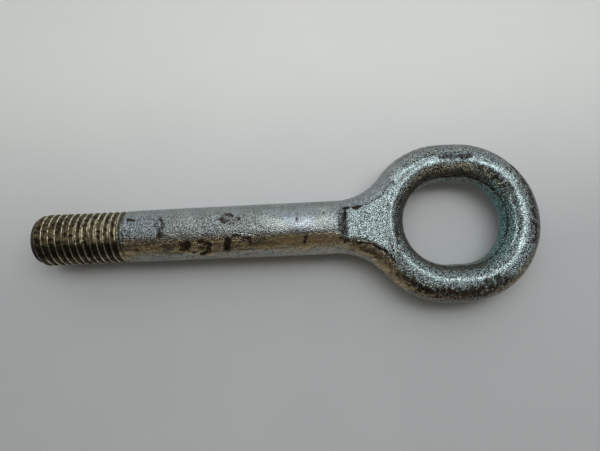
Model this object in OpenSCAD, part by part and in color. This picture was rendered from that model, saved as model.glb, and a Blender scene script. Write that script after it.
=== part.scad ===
// Tow eye: one forged steel bar, an open eye at one end and a screw thread at the other.
// The bar lies along X with the thread to the left, the eye lies flat in the XY plane,
// and the origin is the middle of the eye's opening, half way through its thickness.

/* [Eye] */
// Diameter of the round section that the eye is bent or forged to
rod_d = 15; // [14:0.1:16]
// Width of the opening across the bar
opening_w = 33; // [30:0.5:36]
// How much longer than wide the opening is, along the bar
opening_stretch = 6; // [3:0.5:8]

/* [Shank] */
// Length over all, from the thread's end to the far side of the eye
total_l = 194; // [185:1:210]
// Diameter of the shank next to the thread
shank_start_d = 20.2; // [20:0.1:20.6]
// Diameter of the shank where the neck begins
shank_end_d = 21.2; // [20.6:0.1:22]

/* [Neck] */
// Radius of the hollow curve from the shank's side into the eye's outside
flare_r = 23.5; // [20:0.5:28]
// Distance from the middle of the opening back to the end of the flat on the neck
flat_back = 43; // [41:0.5:45]
// Half thickness of the neck at the shank end of the flat
flat_start_z = 8.5; // [8.3:0.1:8.9]
// Length of the slope that runs down from the shank's crown to the flat
step_l = 3.4; // [2.4:0.2:4.4]
// How far the edge of the flat stands outside the crest line of the eye's branches
flat_edge_over = 1.2; // [0.8:0.1:1.6]

/* [Thread] */
// Nominal diameter of the screw thread
thread_d = 20; // [18, 20]
// Pitch of the thread, right-hand
pitch = 2.5; // [1.5, 2, 2.5]
// Length of the threaded end, up to where the groove begins to run out
thread_l = 32; // [30:0.5:36]
// Turns over which the groove runs out into the shank
runout_turns = 1.25; // [0.75:0.25:1.5]
// Length of the bevel on the thread's end
bevel_l = 2.4; // [1.6:0.2:3]
// How far wear and play leave the crests below the nominal radius
crest_wear = 0.1; // [0.05:0.05:0.15]

/* [Hidden] */

// The eye's centre line is two half circles joined by two straight stretches
rod_r = rod_d / 2;
bend_r = opening_w / 2 + rod_r;
bend_x = opening_stretch / 2;
eye_out_r = bend_r + rod_r;

// Places along the bar
bar_end_x = bend_x + eye_out_r - total_l;
shank_start_x = bar_end_x + thread_l + (runout_turns + 0.35) * pitch;
shank_end_r = shank_end_d / 2;
step_x = -flat_back - step_l;
flat_end_x = -bend_x - bend_r;
flat_end_z = rod_r + 0.25;

// A branch of the neck starts just inside the shank's side and its outside touches the eye's
branch_r = rod_r - 0.06;
branch_y = shank_end_r - 0.08 + flare_r;
branch_sweep_r = flare_r + branch_r;
branch_x = -bend_x - sqrt(pow(bend_r + branch_sweep_r, 2) - pow(branch_y, 2));
branch_turn = acos(branch_y / (bend_r + branch_sweep_r));
web_tip_x = -bend_x - bend_r * sin(branch_turn);

// Metric thread profile: a 60 degree groove with a narrow flat floor
crest_r = thread_d / 2 - crest_wear;
floor_r = thread_d / 2 - 0.6134 * pitch;
floor_w = pitch / 6;
groove_top_r = crest_r + 0.22;
segments = 30;
tail_share = 0.25;

// Bevel where the shank's rough diameter meets the thread's blank
collar_l = 0.6;

module bend(from, turn, sweep_r, tube_r) {
    rotate([0, 0, from])
        rotate_extrude(angle = turn, $fn = 96)
            translate([sweep_r, 0])
                circle(r = tube_r, $fn = 48);
}

module eye() {
    translate([bend_x, 0, 0])
        bend(-90, 180, bend_r, rod_r);
    translate([-bend_x, 0, 0])
        bend(90, 180, bend_r, rod_r);
    for (side = [-1, 1])
        translate([-bend_x, side * bend_r, 0])
            rotate([0, 90, 0])
                cylinder(r = rod_r, h = 2 * bend_x, $fn = 48);
}

// The two branches that swing out of the shank into the sides of the eye
module branches() {
    translate([branch_x, branch_y, 0])
        bend(-90, branch_turn, branch_sweep_r, branch_r);
    translate([branch_x, -branch_y, 0])
        bend(90 - branch_turn, branch_turn, branch_sweep_r, branch_r);
}

// Side view of the neck: the slope below the shank's crown, then a flat that falls gently to the eye
module neck_side_view() {
    upper = [
        [step_x, shank_end_r],
        [-flat_back, flat_start_z],
        [flat_end_x, flat_end_z],
        [web_tip_x, rod_r - 0.05],
        [web_tip_x + rod_r, rod_r - 0.6]
    ];
    lower = [for (i = [len(upper) - 1 : -1 : 0]) [upper[i][0], -upper[i][1]]];
    polygon(concat(upper, lower));
}

// Plan of the flat web between the branches, ended by the eye's own curve
module web_plan() {
    web_x = branch_x + 2;
    difference() {
        translate([web_x, -branch_y])
            square([web_tip_x - web_x, 2 * branch_y]);
        for (side = [-1, 1])
            translate([branch_x, side * branch_y])
                circle(r = branch_sweep_r - flat_edge_over, $fn = 96);
        translate([-bend_x, 0])
            circle(r = bend_r - flat_edge_over, $fn = 96);
    }
}

module neck() {
    intersection() {
        union() {
            translate([step_x, 0, 0])
                rotate([0, 90, 0])
                    cylinder(r1 = shank_end_r, r2 = rod_r, h = flat_end_x - step_x, $fn = 96);
            translate([0, 0, -shank_end_r])
                linear_extrude(2 * shank_end_r)
                    web_plan();
        }
        rotate([90, 0, 0])
            linear_extrude(4 * shank_end_r, center = true)
                neck_side_view();
    }
}

module shank() {
    translate([shank_start_x, 0, 0])
        rotate([0, 90, 0]) {
            cylinder(r1 = crest_r, r2 = shank_start_d / 2, h = collar_l, $fn = 96);
            translate([0, 0, collar_l])
                cylinder(
                    r1 = shank_start_d / 2,
                    r2 = shank_end_r,
                    h = step_x - shank_start_x - collar_l,
                    $fn = 96
                );
        }
}

// Share of the full depth that the groove still has at a step of the helix
function groove_share(i, last) = tail_share + (1 - tail_share) * min(1, (last - i) / (runout_turns * segments));

// Section of the groove at one step of the helix: outer edge, floor, floor, outer edge
function groove_ring(i, last) =
    let (
        turn = i * 360 / segments,
        x = bar_end_x - pitch + i * pitch / segments,
        depth = (groove_top_r - floor_r) * groove_share(i, last),
        low_r = groove_top_r - depth,
        low_w = floor_w / 2,
        top_w = low_w + depth * tan(30)
    )
    [
        [x - top_w, groove_top_r * cos(turn), groove_top_r * sin(turn)],
        [x - low_w, low_r * cos(turn), low_r * sin(turn)],
        [x + low_w, low_r * cos(turn), low_r * sin(turn)],
        [x + top_w, groove_top_r * cos(turn), groove_top_r * sin(turn)]
    ];

module groove() {
    last = ceil(segments * (thread_l / pitch + 1 + runout_turns));
    rings = [for (i = [0 : last]) each groove_ring(i, last)];
    sides = [
        for (i = [0 : last - 1])
            for (k = [0 : 3])
                let (a = 4 * i + k, b = 4 * i + (k + 1) % 4)
                    each [[a, b + 4, b], [a, a + 4, b + 4]]
    ];
    ends = [[0, 1, 2, 3], [4 * last + 3, 4 * last + 2, 4 * last + 1, 4 * last]];
    polyhedron(points = rings, faces = concat(sides, ends), convexity = 20);
}

module threaded_end() {
    difference() {
        rotate([0, 90, 0])
            union() {
                translate([0, 0, bar_end_x])
                    cylinder(r1 = floor_r, r2 = crest_r, h = bevel_l, $fn = 96);
                translate([0, 0, bar_end_x + bevel_l])
                    cylinder(r = crest_r, h = shank_start_x - bar_end_x - bevel_l, $fn = 96);
            }
        groove();
    }
}

module tow_eye() {
    color("darkgray")
        union() {
            threaded_end();
            shank();
            neck();
            branches();
            eye();
        }
}

tow_eye();
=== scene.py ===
# Tow eye, dressed: a forged steel bar with a closed eye and a screw thread, plated with dull zinc.
# All lengths are in metres in the part's own frame: the bar lies along X, the eye lies flat in XY.
import math

import bmesh
import bpy
import numpy as np
from mathutils import Matrix, Vector


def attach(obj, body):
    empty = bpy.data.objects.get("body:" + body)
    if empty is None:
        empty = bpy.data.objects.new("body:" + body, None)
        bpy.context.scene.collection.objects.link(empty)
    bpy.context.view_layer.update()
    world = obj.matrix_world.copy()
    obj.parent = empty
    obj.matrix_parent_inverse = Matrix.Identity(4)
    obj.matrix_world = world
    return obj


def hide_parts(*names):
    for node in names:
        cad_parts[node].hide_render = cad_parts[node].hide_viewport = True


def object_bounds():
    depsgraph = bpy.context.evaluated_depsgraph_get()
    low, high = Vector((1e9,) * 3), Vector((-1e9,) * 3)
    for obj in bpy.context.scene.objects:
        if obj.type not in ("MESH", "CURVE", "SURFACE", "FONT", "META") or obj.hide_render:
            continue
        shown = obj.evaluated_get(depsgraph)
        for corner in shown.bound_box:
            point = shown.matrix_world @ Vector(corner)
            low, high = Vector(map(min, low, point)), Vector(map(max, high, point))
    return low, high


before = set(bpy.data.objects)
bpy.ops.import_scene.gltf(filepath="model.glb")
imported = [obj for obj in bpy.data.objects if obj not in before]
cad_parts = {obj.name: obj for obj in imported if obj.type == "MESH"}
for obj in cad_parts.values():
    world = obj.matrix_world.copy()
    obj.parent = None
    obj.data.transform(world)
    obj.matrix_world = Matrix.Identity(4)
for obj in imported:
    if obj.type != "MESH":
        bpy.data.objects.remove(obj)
cad_low, cad_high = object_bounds()
MM = 0.001

# The threaded end: a coarse metric thread, right-hand, rolled into the steel bar before it was zinc
# plated. Its groove runs out into the shank. It is worn: the crests are rounded and bruised, and old
# grease fills the groove.

thread_start_x = cad_low.x
thread_l = 32 * MM
pitch = 2.5 * MM
crest_r = 9.9 * MM
crest_rounding = 0.16 * MM
groove_top_r = crest_r + 0.22 * MM
floor_r = 8.47 * MM
floor_w = pitch / 6
flank_angle = math.radians(30)
bevel_l = 2.4 * MM
bevel_rounding = 0.12 * MM
runout_turns = 1.25
plain_turns = 0.35
tail_share = 0.25
shank_start_x = thread_start_x + thread_l + (runout_turns + plain_turns) * pitch
tube_end_x = shank_start_x + 1.2 * MM
tube_rings = 248
tube_steps = 108


def closed_tube(name, xs, radii):
    """Mesh of a tube along X: ring i has radius radii[i, j] at angle j, and a fan closes each end."""
    rings, steps = radii.shape
    turn = np.arange(steps) * 2 * math.pi / steps
    points = np.stack(
        [
            np.repeat(xs[:, None], steps, axis=1),
            radii * np.cos(turn),
            radii * np.sin(turn),
        ],
        axis=-1,
    ).reshape(-1, 3)
    i, j = np.meshgrid(np.arange(rings - 1), np.arange(steps), indexing="ij")
    near, far = i * steps + j, i * steps + (j + 1) % steps
    quads = np.stack([near, far, far + steps, near + steps], axis=-1).reshape(-1, 4)
    around = np.arange(steps)
    onward = (around + 1) % steps
    last_ring = (rings - 1) * steps
    start_middle = np.full(steps, len(points))
    end_middle = start_middle + 1
    start_fan = np.stack([start_middle, onward, around], axis=-1)
    end_fan = np.stack([end_middle, last_ring + around, last_ring + onward], axis=-1)
    points = np.vstack([points, [[xs[0], 0, 0], [xs[-1], 0, 0]]])
    mesh = bpy.data.meshes.new(name)
    mesh.from_pydata(points.tolist(), [], quads.tolist() + start_fan.tolist() + end_fan.tolist())
    mesh.update()
    return mesh


def smooth_low(a, b, width):
    """The lower of a and b, with the corner between them rounded over width."""
    near = np.clip(0.5 + 0.5 * (b - a) / width, 0, 1)
    return b * (1 - near) + a * near - width * near * (1 - near)


def thread_radius(x, turn):
    """Radius of the threaded end at a place along X and an angle from +Y towards +Z.

    The groove's middle advances one pitch a turn. Its flanks rise at 30 degrees to the radius from a
    flat floor, the crests are cut off at crest_r, and the bevel is a cone at the bar's end. Over the
    last turns the groove gets shallower, down to a share of its depth.
    """
    turns_along = (x - thread_start_x + pitch) / pitch - turn / (2 * math.pi)
    groove = np.round(turns_along)
    from_middle = np.abs(turns_along - groove) * pitch
    turns_done = groove + turn / (2 * math.pi)
    last_turn = thread_l / pitch + 1 + runout_turns
    share = tail_share + (1 - tail_share) * np.clip((last_turn - turns_done) / runout_turns, 0, 1)
    low_r = groove_top_r - (groove_top_r - floor_r) * share
    flank = low_r + np.maximum(from_middle - floor_w / 2, 0) / math.tan(flank_angle)
    flank = np.where(turns_done > last_turn, groove_top_r, flank)
    cone = floor_r + (crest_r - floor_r) * (x - thread_start_x) / bevel_l
    radius = smooth_low(flank, np.full_like(flank, crest_r), crest_rounding)
    return smooth_low(radius, cone, bevel_rounding)


tube_xs = np.linspace(thread_start_x, tube_end_x, tube_rings)
tube_turns = np.arange(tube_steps) * 2 * math.pi / tube_steps
tube_grid_x, tube_grid_turn = np.meshgrid(tube_xs, tube_turns, indexing="ij")
tube = closed_tube("threaded_end", tube_xs, thread_radius(tube_grid_x, tube_grid_turn))
threaded_end = bpy.data.objects.new("threaded_end", tube)
bpy.context.scene.collection.objects.link(threaded_end)

# The shank and the eye: the rest of the same steel bar, drop forged between two dies and left as
# forged, with soft round corners where the shank meets the neck and along the flat's edges. The part's
# own solid is copied, softened and joined to the threaded end, so that the whole bar is one mesh.

forging_start_x = shank_start_x + 0.05 * MM
forging_grain = 0.52 * MM
weld_distance = 0.001 * MM


def merged_copy(node, name, cut_x):
    """A closed copy of a CAD node's mesh, its loose triangles merged, and all below cut_x cut away."""
    shell = bmesh.new()
    shell.from_mesh(node.data)
    bmesh.ops.remove_doubles(shell, verts=shell.verts, dist=weld_distance)
    whole = shell.verts[:] + shell.edges[:] + shell.faces[:]
    cut = bmesh.ops.bisect_plane(
        shell, geom=whole, plane_co=(cut_x, 0, 0), plane_no=(1, 0, 0), clear_inner=True
    )
    rim = [piece for piece in cut["geom_cut"] if isinstance(piece, bmesh.types.BMEdge)]
    bmesh.ops.contextual_create(shell, geom=rim)
    bmesh.ops.triangulate(shell, faces=shell.faces[:])
    mesh = bpy.data.meshes.new(name)
    shell.to_mesh(mesh)
    shell.free()
    return mesh


def applied(obj):
    """The object's mesh with its modifiers worked in."""
    graph = bpy.context.evaluated_depsgraph_get()
    return bpy.data.meshes.new_from_object(obj.evaluated_get(graph))


forging_mesh = merged_copy(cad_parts["tow_eye"], "forging", forging_start_x)
forging = bpy.data.objects.new("forging", forging_mesh)
bpy.context.scene.collection.objects.link(forging)
remesh = forging.modifiers.new("even_grid", "REMESH")
remesh.mode = "VOXEL"
remesh.voxel_size = forging_grain
soften = forging.modifiers.new("soft_corners", "SMOOTH")
soften.factor = 0.5
soften.iterations = 4
join = forging.modifiers.new("one_bar", "BOOLEAN")
join.operation = "UNION"
join.solver = "EXACT"
join.object = threaded_end
tow_eye = bpy.data.objects.new("tow_eye_forging", applied(forging))
bpy.context.scene.collection.objects.link(tow_eye)
for scaffold in (forging, threaded_end):
    bpy.data.objects.remove(scaffold)
tow_eye.data.shade_smooth()

# Wear of the bar: the forged skin is uneven and pitted, and the shank's near side is gouged. All of
# this goes inwards, so the bar keeps its size. Rust and dirt lie where water and grease stayed: in the
# gouges and on the eye. The crease at the flat's end and the flat's edges are drawn darker, and painted
# shade lies on the slope just before the flat.

# From here to the end of the next section lengths are in millimetres. Each mark has its depth, the
# strength of its darkening, its half width and the places in plan that it runs through. Strong
# darkening is solid, and weak darkening is a scatter of specks.
MARKS = (
    # Gouges in the shank's near side
    (0.30, 1.10, 1.50, ((-103.8, -5.4), (-102.0, -5.0))),
    (0.30, 1.15, 1.40, ((-102.0, -5.0), (-102.3, -6.6))),
    (0.15, 0.95, 1.00, ((-104.6, -6.6), (-103.0, -7.0))),
    (0.25, 1.00, 1.30, ((-97.4, -4.5), (-94.6, -5.3))),
    (0.32, 1.15, 1.50, ((-94.2, -5.7), (-94.5, -7.2))),
    (0.25, 1.10, 1.25, ((-95.0, -7.7), (-97.2, -8.7))),
    (0.15, 0.90, 0.90, ((-96.0, -6.0), (-97.4, -6.4))),
    (0.40, 1.35, 1.50, ((-87.0, -4.2), (-87.5, -5.9), (-87.9, -7.4))),
    (0.12, 1.00, 0.85, ((-85.0, -2.3), (-82.8, -2.8))),
    (0.12, 0.95, 0.85, ((-81.4, -3.3), (-79.2, -4.0))),
    (0.15, 1.10, 0.90, ((-79.2, -3.8), (-78.8, -5.4))),
    (0.20, 1.25, 1.00, ((-58.2, -4.2), (-58.6, -6.2))),
    # Scratches and smudges on the shank's crown
    (0.10, 1.25, 0.95, ((-124.0, 5.4), (-121.8, 5.2))),
    (0.06, 0.85, 0.42, ((-122.0, 5.2), (-114.2, 5.2))),
    (0.08, 0.75, 1.30, ((-111.9, 5.4), (-111.1, 2.6))),
    (0.08, 0.85, 1.50, ((-111.3, 1.6), (-111.6, 0.2), (-112.2, -1.6))),
    (0.00, 0.45, 3.00, ((-112.5, 4.0), (-111.5, -1.0))),
    (0.08, 0.85, 0.90, ((-89.3, 4.3), (-88.3, 5.7), (-86.5, 5.8), (-85.3, 4.7))),
    (0.08, 0.85, 0.90, ((-86.3, 3.2), (-87.8, 2.7), (-89.0, 4.2))),
    (0.08, 1.20, 0.75, ((-82.5, 3.9), (-83.3, 3.7))),
    (0.00, 0.40, 2.60, ((-90.0, 3.0), (-82.0, 3.6))),
    (0.05, 0.70, 0.60, ((-61.3, 4.1), (-61.3, 1.6))),
    # Single specks on the shank, and a faint scatter near the thread
    (0.05, 1.30, 0.55, ((-96.4, -1.9), (-95.6, -2.0))),
    (0.05, 1.30, 0.50, ((-51.2, 4.8),)),
    (0.05, 1.20, 0.50, ((-105.8, -7.9), (-104.8, -8.0))),
    (0.05, 1.20, 0.50, ((-101.0, -7.6), (-99.8, -7.7))),
    (0.00, 0.30, 2.20, ((-121.0, -4.8), (-110.3, -5.4))),
    # The crease at the flat's end, the flat's edges and the flank beside it
    (0.22, 0.85, 0.80, ((-42.9, 6.0), (-43.1, 2.0), (-42.9, -6.2))),
    (0.00, 0.58, 1.80, ((-43.6, 5.6), (-43.8, 2.0), (-43.6, -6.4))),
    (0.10, 1.80, 0.90, ((-42.7, 6.2), (-41.4, 6.3))),
    (0.10, 1.60, 0.80, ((-39.6, 6.4), (-37.4, 6.6))),
    (0.12, 1.00, 0.62, ((-42.5, -6.2), (-38.0, -6.9), (-33.5, -7.9), (-29.0, -10.3))),
    (0.12, 1.00, 0.60, ((-29.0, -10.3), (-27.1, -12.3), (-25.2, -14.7))),
    (0.00, 0.50, 1.80, ((-38.0, -9.0), (-33.5, -10.7), (-28.0, -15.0))),
    # The eye's near side, its far side, its right end and the inner slope on its left, where dirt and
    # painted shade lie together
    (0.00, 0.62, 2.80, ((-22.9, -19.8), (-18.7, -23.2), (-14.2, -25.8))),
    (0.15, 1.30, 1.20, ((-15.2, -25.3), (-13.2, -25.9))),
    (0.00, 0.60, 3.40, ((-12.0, -26.7), (0.0, -27.8), (8.0, -26.8), (16.2, -23.3))),
    (0.05, 0.70, 2.00, ((8.6, -23.9), (13.3, -22.3))),
    (0.06, 0.56, 2.40, ((-4.0, 24.6), (6.0, 24.0))),
    (0.04, 0.70, 1.00, ((3.6, 23.8), (7.6, 24.3))),
    (0.00, 0.44, 3.00, ((10.0, 22.0), (14.0, 19.0), (20.5, 13.0))),
    (0.00, 0.34, 2.40, ((20.5, 13.0), (24.0, 2.0), (23.7, -6.0))),
    (0.00, 0.66, 2.20, ((24.5, 20.0), (26.7, 15.2), (28.5, 11.1), (29.7, 6.3), (29.8, -2.0))),
    (0.00, 0.56, 2.40, ((29.8, -2.0), (29.0, -9.0))),
    (0.00, 0.44, 1.60, ((-21.0, 8.6), (-23.0, 4.0), (-23.8, -1.0), (-24.0, -6.7), (-22.5, -11.3))),
)

# Rubbed places, where the plating is bright, and painted highlights along edges and crests: the half
# width, and the places in plan
SCUFFS_AND_HIGHLIGHTS = (
    # The shank, the flat's end, whose bright line is a painted highlight on its edge, and the last
    # groove of the thread
    (0.45, ((-84.0, -1.7), (-80.5, -1.9), (-77.5, -2.6))),
    (0.50, ((-82.0, -8.6), (-78.4, -8.2), (-74.8, -8.4))),
    (0.45, ((-73.6, -8.7), (-71.0, -8.4), (-68.4, -8.6))),
    (0.40, ((-106.0, -8.8), (-100.0, -8.5))),
    (0.55, ((-41.5, 5.6), (-41.6, -5.4))),
    (0.45, ((-126.2, 6.5), (-126.2, -3.0))),
    # Painted highlights along the eye's two ridges on its right, and along its crest on the far side
    (0.90, ((20.0, -10.8), (22.5, -4.5), (22.8, 0.2), (22.3, 4.7), (21.2, 8.9))),
    (0.95, ((21.7, -11.7), (24.5, -4.7), (25.1, 0.2), (24.4, 5.0), (23.2, 9.7))),
    (1.70, ((11.4, 22.1), (14.5, 20.9), (17.8, 19.5), (20.8, 16.8), (23.2, 14.0))),
    (1.50, ((-6.1, 24.4), (-12.8, 23.1), (-16.4, 21.3), (-19.7, 19.3), (-22.6, 16.3))),
    (1.60, ((7.5, 24.4), (10.2, 23.7), (13.2, 22.6))),
    (1.20, ((-26.6, 8.2), (-25.8, 10.5), (-23.7, 13.6), (-21.7, 16.2))),
)

# Half width of the flat on the neck at places along the bar
FLAT_EDGE = ((-43, -37, -33.5, -29, -25, -20), (6.2, 6.6, 7.5, 10.0, 14.5, 19.5))

skin_start_x = shank_start_x / MM
crest_height = crest_r / MM
slope_middle_x = -45
slope_half_l = 2.2
slope_half_w = 5.8
flat_start_x = -43
flat_end_x = -23
eye_start_x = -26
swell_depth, swell_size = 0.06, 8.0
ripple_depth, ripple_size = 0.025, 2.6
pit_depth, pit_size = 0.10, 1.5
nick_depth, nick_size = 0.14, 1.1
worn_depth = 0.02
ragged_by, ragged_size = 0.42, 1.1
LATTICE_PRIMES = (73856093, 19349663, 83492791)


def lattice_noise(points, cell, seed):
    """Smooth noise from -1 to 1: random values on a cubic lattice, blended by smoothstep 3t^2 - 2t^3."""
    table = np.random.default_rng(seed).uniform(-1, 1, 4096)
    scaled = points / cell
    corner = np.floor(scaled).astype(np.int64)
    part = scaled - corner
    blend = part * part * (3 - 2 * part)
    total = np.zeros(len(points))
    for step in np.ndindex(2, 2, 2):
        key = np.bitwise_xor.reduce((corner + step) * LATTICE_PRIMES, axis=1)
        weight = np.prod(np.where(step, blend, 1 - blend), axis=1)
        total += weight * table[key % len(table)]
    return total


def rise(values, low, high):
    """0 up to low, 1 from high on and a straight slope between. With low above high it falls."""
    return np.clip((values - low) / (high - low), 0, 1)


def coordinates(mesh, what):
    """The mesh's vertex positions or normals as an array of rows."""
    flat = np.empty(len(mesh.vertices) * 3, dtype=np.float32)
    mesh.vertices.foreach_get(what, flat)
    return flat.reshape(-1, 3).astype(float)


def on_skin(points, places):
    """The places (x, y) as points on the upper skin, at the height of the vertex nearest in plan."""
    upper = points[points[:, 2] > 0]
    nearest = [np.argmin(((upper[:, :2] - place) ** 2).sum(axis=1)) for place in places]
    return [(*place, upper[at, 2]) for place, at in zip(places, nearest)]


def stroke(points, places, half_width):
    """1 on the line through the places, falling to 0 at half_width from it as 1 - d^2."""
    nearest = np.full(len(points), np.inf)
    for start, end in zip(places, places[1:] or places):
        start, run = np.array(start), np.array(end) - np.array(start)
        share = np.clip((points - start) @ run / max(run @ run, 1e-9), 0, 1)
        nearest = np.minimum(nearest, ((points - start - share[:, None] * run) ** 2).sum(axis=1))
    return np.clip(1 - nearest / half_width**2, 0, 1)


points = coordinates(tow_eye.data, "co") / MM
normals = coordinates(tow_eye.data, "normal")
x, y, z = points.T
facing_up = normals[:, 2]

swell = swell_depth * (1 + lattice_noise(points, swell_size, 11))
swell += ripple_depth * (1 + lattice_noise(points, ripple_size, 12))
pits = pit_depth * rise(lattice_noise(points, pit_size, 13), 0.42, 0.67)
on_forging = rise(x, skin_start_x, skin_start_x + 1.5)
depth = on_forging * (swell + pits)
wander = [lattice_noise(points, ragged_size, seed) for seed in (21, 22, 23)]
ragged = points + ragged_by * np.stack(wander, axis=-1)
dirt_and_painted_shade = np.zeros(len(points))
for mark_depth, strength, half_width, places in MARKS:
    mark = stroke(ragged, on_skin(points, places), half_width)
    depth += mark_depth * np.sqrt(mark)
    dirt_and_painted_shade = np.maximum(dirt_and_painted_shade, strength * mark)
nicks = rise(lattice_noise(points * (1, 0.6, 0.6), nick_size, 14), 0.35, 0.35 + 1 / 3)
nicks *= rise(np.hypot(y, z), crest_height - 0.7, crest_height - 0.3)
depth += (1 - on_forging) * (worn_depth + nick_depth * nicks)

flat_edge = np.interp(x, *FLAT_EDGE)
on_flat = rise(x, flat_start_x, flat_start_x + 2) * rise(x, flat_end_x, flat_end_x - 5)
on_flat *= rise(np.abs(y), flat_edge, flat_edge - 0.35)
# Painted highlight on the eye's upward-facing crown, stronger towards the near side
painted_crown_highlight = rise(facing_up, 0.72, 0.92) * rise(x, eye_start_x, eye_start_x + 6)
painted_crown_highlight *= 0.52 - 0.20 * np.clip(y / 12, -1, 1)
scuffed_and_highlight = np.zeros(len(points))
for half_width, places in SCUFFS_AND_HIGHLIGHTS:
    scuffed_and_highlight = np.maximum(scuffed_and_highlight, stroke(ragged, on_skin(points, places), half_width))
# The bright share: rubbed plating at the scuffs, a painted sheen on the flat and painted highlights on
# the eye's crown and at the marked edges and crests
bare_and_highlight = np.maximum.reduce([0.95 * on_flat * (z > 6), painted_crown_highlight, scuffed_and_highlight])
# Painted shade on the short slope just before the flat, put into the dirt share
slope = rise(np.abs(x - slope_middle_x), slope_half_l, 0) * (np.abs(y) < slope_half_w) * (z > 7)
dirt_and_painted_shade = np.maximum(dirt_and_painted_shade, 0.55 * slope)

# How the skin lies at each place: how far it leans to the near side, how much it faces into the eye's
# opening and how coarse it is. The flanks, the flat and the worn line on the eye's crest are smoother
# than the crown, and the worn line also carries a painted highlight. A dark line runs round the
# opening's wall, above and below the middle.

half_stretch = 3
wall_reach = 24.5
trim_height = 3.7
worn_highlight_reach = 22.95
worn_highlight_sway = 0.45
bright_middle_x = -60
bright_half_l = 17
shank_end_x = -44
branch_end_x = -17

from_centre = np.stack([x - np.clip(x, -half_stretch, half_stretch), y], axis=-1)
reach = np.maximum(np.linalg.norm(from_centre, axis=1), 1)
inward = -(normals[:, :2] * from_centre).sum(axis=1) / reach
inside = rise(inward, 0.3, 0.7) * (reach < wall_reach)
trim_line = rise(np.abs(np.abs(z) - trim_height), 0.7, 0) * (inside > 0.6)
dirt_and_painted_shade = np.maximum(dirt_and_painted_shade, 0.85 * trim_line)

# The worn line along the eye's crest: smoother, and painted bright as a highlight where the lamps show
# in it
crest_reach = worn_highlight_reach + worn_highlight_sway * y / reach
worn_highlight_line = rise(np.abs(reach - crest_reach), 1.3, 0.3) * rise(facing_up, 0.90, 0.95)
bare_and_highlight = np.maximum(bare_and_highlight, 0.85 * worn_highlight_line)

bright_run = np.clip(1 - ((x - bright_middle_x) / bright_half_l) ** 2, 0, 1)
on_shank = rise(x, shank_end_x, shank_end_x - 2)
flanks = rise(facing_up, 0.90, 0.70) * np.where(x > eye_start_x, 0.21, 0.42)
beside_flat = rise(np.abs(y), flat_edge + 0.2, flat_edge + 1.2) * (1 - on_shank)
beside_flat *= rise(x, branch_end_x, branch_end_x - 5)
smoother = flanks + 0.36 * on_flat + 0.50 * beside_flat + 0.55 * worn_highlight_line
smoother += 0.45 * on_shank + 0.40 * bright_run + 0.40 * scuffed_and_highlight
coarse = np.clip(1.1 - smoother, 0.25, 1.1)

skin = {"dirt_and_painted_shade": dirt_and_painted_shade, "bare_and_highlight": bare_and_highlight, "lean": -normals[:, 1], "inside": inside, "coarse": coarse}
for layer_name, values in skin.items():
    layer = tow_eye.data.attributes.new(layer_name, "FLOAT", "POINT")
    layer.data.foreach_set("value", values.astype(np.float32))
points -= normals * depth[:, None]
tow_eye.data.vertices.foreach_set("co", (points * MM).astype(np.float32).ravel())

# The plating: dull zinc over steel, as one material for the whole bar. It is mottled and porous,
# stained brown along the near side together with a painted reflection, bright where it is rubbed and
# where highlights are painted, and rusty in the marks, which carry painted shade too. In the thread
# old grease lies over it.


class Wire:
    """A shader socket whose sums and products are written as plain expressions."""

    def __init__(self, shader, socket):
        self.shader = shader
        self.socket = socket

    def output(self, number):
        return Wire(self.shader, self.socket.node.outputs[number])

    def math(self, operation, first, second):
        return self.shader.node("ShaderNodeMath", {"operation": operation}, {0: first, 1: second})

    def highest(self, other):
        return self.math("MAXIMUM", self, other)

    def __add__(self, other):
        return self.math("ADD", self, other)

    def __sub__(self, other):
        return self.math("SUBTRACT", self, other)

    def __rsub__(self, other):
        return self.math("SUBTRACT", other, self)

    def __mul__(self, other):
        return self.math("MULTIPLY", self, other)

    def __pow__(self, other):
        return self.math("POWER", self, other)

    __radd__ = __add__
    __rmul__ = __mul__


class Shader:
    """A material or world tree that is built by one method, node."""

    def __init__(self, owner):
        owner.use_nodes = True
        self.owner = owner
        self.tree = owner.node_tree
        self.tree.nodes.clear()

    def node(self, kind, settings=None, inputs=None, output=0):
        """Adds a node, sets or links its inputs, and gives one of its outputs as a Wire."""
        made = self.tree.nodes.new(kind)
        for key, value in (settings or {}).items():
            setattr(made, key, value)
        for key, value in (inputs or {}).items():
            if isinstance(value, Wire):
                self.tree.links.new(value.socket, made.inputs[key])
            else:
                made.inputs[key].default_value = value
        return Wire(self, made.outputs[output]) if made.outputs else None

    def ramp(self, value, low, high):
        """0 below low, 1 above high, and a smooth step between. With low above high it falls."""
        return self.node(
            "ShaderNodeMapRange",
            {"interpolation_type": "SMOOTHSTEP"},
            {"Value": value, "From Min": low, "From Max": high},
        )

    def mix(self, share, first, second):
        """The colour that goes from first to second as share goes from 0 to 1."""
        ends = [end if isinstance(end, Wire) else (*end, 1) for end in (first, second)]
        return self.node("ShaderNodeMix", {"data_type": "RGBA"}, {0: share, 6: ends[0], 7: ends[1]}, 2)

    def noise(self, place, size, detail=2.0, roughness=0.5):
        return self.node(
            "ShaderNodeTexNoise",
            {"noise_dimensions": "3D"},
            {"Vector": place, "Scale": 1 / size, "Detail": detail, "Roughness": roughness},
        )


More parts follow.
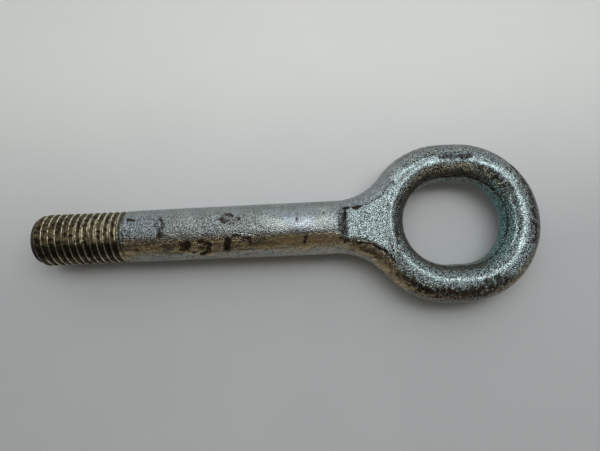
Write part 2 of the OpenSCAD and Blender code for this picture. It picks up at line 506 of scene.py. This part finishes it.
zinc = Shader(bpy.data.materials.new("dull_zinc_plate"))
place = zinc.node("ShaderNodeTexCoord", output="Object")
along = zinc.node("ShaderNodeSeparateXYZ", inputs={"Vector": place})
across = along.output(1)
height = along.output(2)
from_axis = (across * across + height * height) ** 0.5
dirt_and_shade_share, bare_and_highlight_share, lean, inside_share, coarseness = (
    zinc.node("ShaderNodeAttribute", {"attribute_name": layer_name}, output="Fac")
    for layer_name in skin
)
mottle = zinc.noise(place, 5.5 * MM, 3.0)
cloud = zinc.noise(place, 16 * MM, 2.0)
pore = zinc.noise(place, 0.46 * MM, 1.0)
crumb = zinc.noise(place, 1.5 * MM, 3.0, 0.6)

# Mottled grey with bluish clouds, and painted shade over the shank towards the thread, except on its
# far-facing flank
grey_zinc = (0.31, 0.35, 0.34)
pale_zinc = (0.41, 0.445, 0.44)
blue_zinc = (0.34, 0.38, 0.43)
painted_shade_zinc = (0.24, 0.27, 0.28)
zinc_colour = zinc.mix(zinc.ramp(mottle, 0.35, 0.65), grey_zinc, pale_zinc)
zinc_colour = zinc.mix(zinc.ramp(cloud, 0.45, 0.62) * 0.7, zinc_colour, blue_zinc)
# Painted shade that tones down the crown's highlight on the shank towards the thread
painted_shade_run = zinc.ramp(along, -78 * MM, -94 * MM) * zinc.ramp(lean, -0.45, -0.05)
zinc_colour = zinc.mix(painted_shade_run * 0.2, zinc_colour, painted_shade_zinc)

# The brown band on the near side, streaked along the bar: a stain with a painted reflection of the dim
# warm surroundings in it, painted shinier as a sheen on the shank's right half
dark_stain_reflection = (0.28, 0.22, 0.15)
tan_stain_reflection = (0.84, 0.65, 0.36)
painted_sheen_tan = (0.95, 0.78, 0.50)
stain_rim_shade = (0.14, 0.085, 0.045)
right_run = zinc.ramp(along, -76 * MM, -64 * MM)
stain_and_reflection = zinc.ramp(lean, 0.20, 0.38)
stain_and_reflection = stain_and_reflection * (1 - zinc.ramp(lean + (mottle - 0.5) * 0.5, 0.70, 0.86) * 0.65)
stretch = {"operation": "MULTIPLY"}
stretched = zinc.node("ShaderNodeVectorMath", stretch, {0: place, 1: (0.22, 1, 1)})
streak = zinc.noise(stretched, 1.3 * MM, 2.0, 0.6)
stain_reflection_colour = zinc.mix(zinc.ramp(streak, 0.36, 0.62), dark_stain_reflection, tan_stain_reflection)
painted_sheen_run = right_run * zinc.ramp(along, -40 * MM, -46 * MM)
stain_reflection_colour = zinc.mix(painted_sheen_run * 0.65, stain_reflection_colour, painted_sheen_tan)
zinc_colour = zinc.mix(stain_and_reflection * 0.85, zinc_colour, stain_reflection_colour)
# Painted shade: a dark rim along the band's upper edge, on the shank left of its right half
stain_rim_shade_mask = zinc.ramp(lean, 0.10, 0.22) * zinc.ramp(lean, 0.46, 0.34) * (1 - right_run)
zinc_colour = zinc.mix(stain_rim_shade_mask * 0.45, zinc_colour, stain_rim_shade)

# The opening's wall: a painted reflection of the floor, paler below the dark line and blue-green on the
# right, and dark on the left, where grime and painted shade lie together
wall_left_grime_and_shade = (0.115, 0.125, 0.095)
wall_right_reflection = (0.23, 0.41, 0.42)
trimmed_left_reflection = (0.45, 0.54, 0.46)
trimmed_right_reflection = (0.36, 0.68, 0.73)
right_part = zinc.ramp(along, 6 * MM, 18 * MM)
wall_shade_and_reflection_colour = zinc.mix(right_part, wall_left_grime_and_shade, wall_right_reflection)
trimmed_reflection_colour = zinc.mix(right_part, trimmed_left_reflection, trimmed_right_reflection)
below_line = zinc.ramp(height, (trim_height + 0.2) * MM, (trim_height - 0.4) * MM)
inside_shade_and_reflection_colour = zinc.mix(below_line, wall_shade_and_reflection_colour, trimmed_reflection_colour)
zinc_colour = zinc.mix(inside_share * 0.85, zinc_colour, inside_shade_and_reflection_colour)

# Rubbed plating with painted highlights, and dark pores over all of it
rubbed_and_highlight_zinc = (0.64, 0.80, 0.83)
pore_dark = (0.032, 0.031, 0.026)
zinc_colour = zinc.mix(bare_and_highlight_share * 0.8, zinc_colour, rubbed_and_highlight_zinc)
grit = zinc.ramp(pore, 0.60, 0.36) * (coarseness * 0.77 + 0.33)
zinc_colour = zinc.mix(grit, zinc_colour, pore_dark)

# Rust and dirt in the marks, and painted shade drawn in the same dark colours
rust_and_shade_black = (0.006, 0.005, 0.004)
rust_and_shade_brown = (0.042, 0.026, 0.017)
patchy = dirt_and_shade_share + stain_and_reflection * 0.10 + (crumb - 0.5) * 2.4 + (pore - 0.5) * 2.9
rust_and_shade = zinc.ramp(patchy, 0.50, 0.78)
rust_and_shade_colour = zinc.mix(zinc.ramp(crumb, 0.4, 0.65), rust_and_shade_black, rust_and_shade_brown)

# Grease in the thread's groove, which is thinner on the floor near the shank, and bare crests. The near
# half and the far half of the thread are painted darker as shade.
grease_dark = (0.018, 0.013, 0.008)
grease_tan = (0.235, 0.185, 0.095)
grease_far_shade = (0.05, 0.04, 0.022)
grease_near_shade = (0.012, 0.010, 0.007)
crest_dull = (0.22, 0.19, 0.125)
crest_bright = (1.0, 0.91, 0.70)
crest_near_shade = (0.10, 0.095, 0.08)
bevel_dirt = (0.040, 0.030, 0.030)
thread_end_x = thread_start_x + thread_l
in_thread = 1 - zinc.ramp(along, thread_end_x + 0.3 * MM, thread_end_x + 1.3 * MM)
in_groove = 1 - zinc.ramp(from_axis, crest_r - 0.20 * MM, crest_r - 0.04 * MM)
on_floor = 1 - zinc.ramp(from_axis, floor_r + 0.03 * MM, floor_r + 0.13 * MM)
floor_shine = on_floor * zinc.ramp(along, thread_start_x + 12.5 * MM, thread_start_x + 18.5 * MM)
near_shade_edge = zinc.ramp(across, -1.4 * MM, -3.8 * MM)
near_half_shade = near_shade_edge * (1 - zinc.ramp(across, -6.4 * MM, -8.6 * MM) * 0.75)
far_half_shade = zinc.ramp(across, 2.0 * MM, 6.0 * MM)
grease = in_thread * in_groove * (1 - floor_shine * 0.6 * (1 - near_half_shade))
crest_wear = 1 - zinc.ramp(along, thread_end_x - 1.1 * MM, thread_end_x + 0.1 * MM)
grease_colour = zinc.mix(zinc.ramp(crumb, 0.38, 0.62), grease_dark, grease_tan)
grease_colour = zinc.mix(far_half_shade * 0.35, grease_colour, grease_far_shade)
grease_colour = zinc.mix(near_half_shade * 0.9, grease_colour, grease_near_shade)
crest_colour = zinc.mix(zinc.ramp(crumb, 0.36, 0.60), crest_dull, crest_bright)
crest_colour = zinc.mix(near_half_shade * 0.6, crest_colour, crest_near_shade)
bevel = 1 - zinc.ramp(along, thread_start_x + 0.9 * MM, thread_start_x + 2.0 * MM)

colour = zinc.mix(crest_wear, zinc_colour, crest_colour)
colour = zinc.mix(grease, colour, grease_colour)
colour = zinc.mix(bevel * 0.8, colour, bevel_dirt)
colour = zinc.mix(rust_and_shade, colour, rust_and_shade_colour)
grain = zinc.noise(place, 0.37 * MM, 1.0) + zinc.noise(place, 1.3 * MM) * 0.7
bump = zinc.node(
    "ShaderNodeBump",
    inputs={"Height": grain * coarseness, "Strength": 1.0, "Distance": 0.50 * MM},
)
surface = zinc.node(
    "ShaderNodeBsdfPrincipled",
    inputs={
        "Base Color": colour,
        "Metallic": 1 - (grease * 0.5).highest(rust_and_shade * 0.4),
        "Roughness": 0.25 + (grease * 0.25).highest(rust_and_shade * 0.5),
        "Specular IOR Level": 0.3,
        "Normal": bump,
    },
)
zinc.node("ShaderNodeOutputMaterial", inputs={"Surface": surface})
tow_eye.data.materials.clear()
tow_eye.data.materials.append(zinc.owner)
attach(tow_eye, "root")
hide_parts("tow_eye")

# The floor: a plain matt board, pale grey, on which the bar lies. Its colour is painted darker towards
# the near side and to the right as painted shade, with a little random mottle.

floor_half = 1.2
floor_z = cad_low.z
board_shaded_end = (0.505, 0.52, 0.535)
board_lit_end = (0.865, 0.865, 0.86)
floor_mesh = bpy.data.meshes.new("floor")
floor_mesh.from_pydata(
    [(i * floor_half, j * floor_half, floor_z) for i, j in ((-1, -1), (1, -1), (1, 1), (-1, 1))],
    [],
    [(0, 1, 2, 3)],
)
floor = bpy.data.objects.new("floor", floor_mesh)
bpy.context.scene.collection.objects.link(floor)
board = Shader(bpy.data.materials.new("pale_board"))
board_place = board.node("ShaderNodeTexCoord", output="Object")
board_x = board.node("ShaderNodeSeparateXYZ", inputs={"Vector": board_place})
board_y = board_x.output(1)
board_mottle_and_shade = board.ramp(board_y, -25 * MM, 85 * MM) * 0.9
board_mottle_and_shade = board_mottle_and_shade + board.noise(board_place, 30 * MM) * 0.1
board_mottle_and_shade = board_mottle_and_shade - board.ramp(board_x, -120 * MM, 120 * MM) * 0.12
board_surface = board.node(
    "ShaderNodeBsdfPrincipled",
    inputs={"Base Color": board.mix(board_mottle_and_shade, board_shaded_end, board_lit_end), "Roughness": 0.75},
)
board.node("ShaderNodeOutputMaterial", inputs={"Surface": board_surface})
floor.data.materials.append(board.owner)

# The light: a wide soft lamp and a narrow one, both above the bar on its far side. The surroundings
# are pale on that side and dim and warm on the near side, so that the round bar shows a light upper
# half and a dark lower half.

lamp_target_y = 20 * MM
surroundings_dim = (0.125, 0.110, 0.086)
surroundings_pale = (0.84, 0.89, 0.88)
surroundings = Shader(bpy.context.scene.world or bpy.data.worlds.new("surroundings"))
bpy.context.scene.world = surroundings.owner
direction = surroundings.node("ShaderNodeTexCoord", output="Generated")
aside = surroundings.node("ShaderNodeSeparateXYZ", inputs={"Vector": direction})
far_side = aside.output(1)
aside_either_way = surroundings.node("ShaderNodeMath", {"operation": "ABSOLUTE"}, {0: aside})
middle = surroundings.ramp(aside_either_way, 0.92, 0.56)
pale_share = surroundings.ramp(far_side, -0.20, 0.24) * (0.12 + middle * 0.88)
sky_colour = surroundings.mix(pale_share, surroundings_dim, surroundings_pale)
sky_inputs = {"Color": sky_colour, "Strength": 1.0}
background = surroundings.node("ShaderNodeBackground", inputs=sky_inputs)
surroundings.node("ShaderNodeOutputWorld", inputs={"Surface": background})

for lamp_name, lamp_place, lamp_size, energy in (
    ("wide_lamp", (-0.01, 0.102, 0.31), (0.36, 0.17), 0.317),
    ("strip_lamp", (0.065, 0.069, 0.305), (0.29, 0.060), 0.098),
):
    lamp_data = bpy.data.lights.new(lamp_name, "AREA")
    lamp_data.shape = "RECTANGLE"
    lamp_data.size, lamp_data.size_y = lamp_size
    lamp_data.energy = energy
    lamp = bpy.data.objects.new(lamp_name, lamp_data)
    bpy.context.scene.collection.objects.link(lamp)
    lamp.location = lamp_place
    aim = Vector((lamp_place[0], lamp_target_y, 0)) - Vector(lamp_place)
    lamp.rotation_euler = aim.to_track_quat("-Z", "Y").to_euler()

# The camera: held about 165 mm above the bar, a little to its near side, and tilted 7.6 degrees
# from straight down. Its place, turn and focal length are those that fit the photograph.

sensor_w_mm = 36
photo_w_px = 600
focal_px = 424.1
camera_place = Vector((-63.8, -20.4, 165.3)) * MM
camera_forward = Vector((0.0228, 0.1307, -0.9912))
camera_up = Vector((0.0453, 0.9903, 0.1317))
camera_data = bpy.data.cameras.new("camera")
camera_data.sensor_width = sensor_w_mm
camera_data.lens = sensor_w_mm * focal_px / photo_w_px
camera_data.clip_start = 0.01
camera = bpy.data.objects.new("camera", camera_data)
bpy.context.scene.collection.objects.link(camera)
back = -camera_forward.normalized()
right = camera_up.cross(back).normalized()
turned = Matrix((right, back.cross(right), back)).transposed().to_4x4()
camera.matrix_world = Matrix.Translation(camera_place) @ turned
bpy.context.scene.camera = camera

bpy.context.scene.view_settings.view_transform = "Standard"

bpy.context.view_layer.update()
